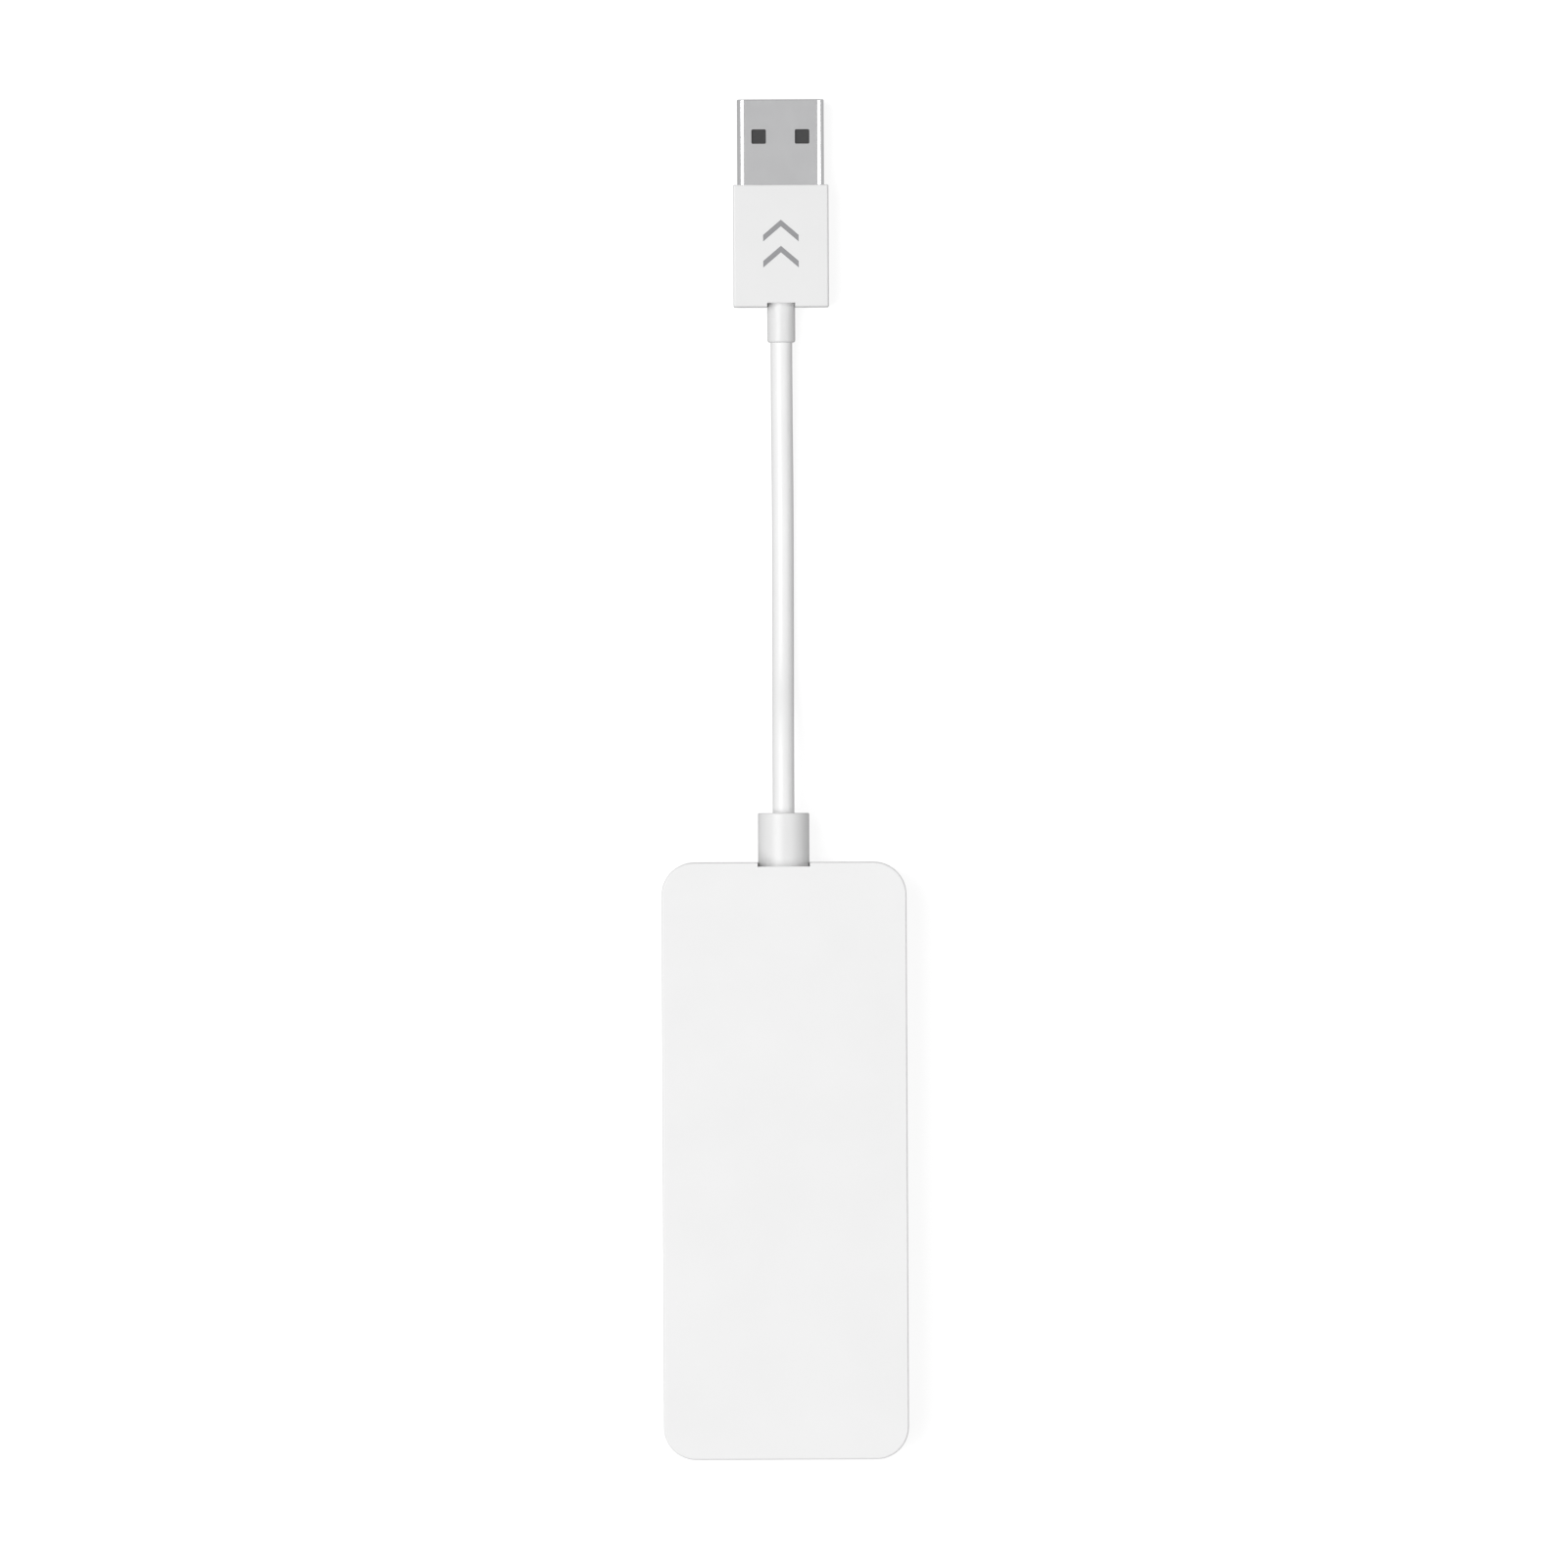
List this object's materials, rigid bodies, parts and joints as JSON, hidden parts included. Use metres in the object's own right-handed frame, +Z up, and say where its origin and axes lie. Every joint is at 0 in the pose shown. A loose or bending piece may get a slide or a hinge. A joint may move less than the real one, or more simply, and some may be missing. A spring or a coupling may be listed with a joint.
{
  "type": "bluetooth audio receiver",
  "caption": "Flat white rounded-rectangle receiver with a 3.5 mm socket in one end and, from the other, a short round white cord through a boot to a USB-A plug.",
  "frame": {"origin": "centre of the housing's underside, on the surface that the part lies on", "axes": "+Y along the housing and the cord, towards the plug's tip; +Z up, out of the blank broad face; +X to the right of someone who looks down with the plug away from them"},
  "size_m": [0.0338, 0.1878, 0.012],
  "materials": {
    "case_abs": "satin white moulded ABS",
    "cord_pvc": "soft satin white PVC",
    "grip_pvc": "satin white moulded PVC",
    "mark_ink": "flat grey inlay",
    "plug_steel": "nickel plated, satin",
    "tongue_plastic": "black glass-filled plastic",
    "gold_contact": "gold-plated bronze",
    "inner_mould": "natural polyethylene",
    "board_laminate": "green solder mask on glass-epoxy",
    "chip_black": "black moulding compound",
    "tin_can": "tinned steel",
    "capacitor_can": "bright aluminium on a black base",
    "ferrite": "dark grey ferrite",
    "ceramic_tan": "tan ceramic with tinned ends",
    "ceramic_white": "white ceramic",
    "solder": "bright solder",
    "jack_black": "black moulded plastic",
    "nickel_contact": "nickel-plated spring bronze",
    "clear_pipe": "frosted clear acrylic",
    "led_body": "white package with a yellow lens",
    "wire_red": "red PVC insulation",
    "wire_white": "white PVC insulation",
    "wire_green": "green PVC insulation",
    "wire_black": "black PVC insulation"
  },
  "bodies": {
    "root": {"top_shell": "case_abs", "bottom_shell": "case_abs", "cord_boot": "grip_pvc", "cord": "cord_pvc", "cord_tail_case": "cord_pvc", "cord_tail_plug": "cord_pvc", "plug_relief": "grip_pvc", "plug_grip": "grip_pvc", "plug_mark_1": "mark_ink", "plug_mark_2": "mark_ink", "plug_shell": "plug_steel", "plug_tongue": "tongue_plastic", "plug_contact_1": "gold_contact", "plug_contact_2": "gold_contact", "plug_contact_3": "gold_contact", "plug_contact_4": "gold_contact", "plug_inner_mould": "inner_mould", "plug_wire_red": "wire_red", "plug_wire_white": "wire_white", "plug_wire_green": "wire_green", "plug_wire_black": "wire_black", "wire_red": "wire_red", "wire_white": "wire_white", "wire_green": "wire_green", "wire_black": "wire_black", "solder_joint_red": "solder", "solder_joint_white": "solder", "solder_joint_green": "solder", "solder_joint_black": "solder", "main_board": "board_laminate", "shield_can": "tin_can", "bluetooth_chip": "chip_black", "crystal": "tin_can", "chip_antenna": "ceramic_white", "flash_memory": "chip_black", "audio_codec": "chip_black", "headphone_amplifier": "chip_black", "voltage_regulator": "chip_black", "power_inductor": "ferrite", "status_led": "led_body", "output_capacitor_1": "capacitor_can", "output_capacitor_2": "capacitor_can", "supply_capacitor": "capacitor_can", "ceramic_capacitor_1": "ceramic_tan", "ceramic_capacitor_2": "ceramic_tan", "ceramic_capacitor_3": "ceramic_tan", "resistor_1": "chip_black", "resistor_2": "chip_black", "resistor_3": "chip_black", "audio_jack": "jack_black", "jack_contact_sleeve": "nickel_contact", "jack_contact_ring": "nickel_contact", "jack_contact_tip": "nickel_contact", "light_pipe": "clear_pipe"}
  },
  "joints": []
}
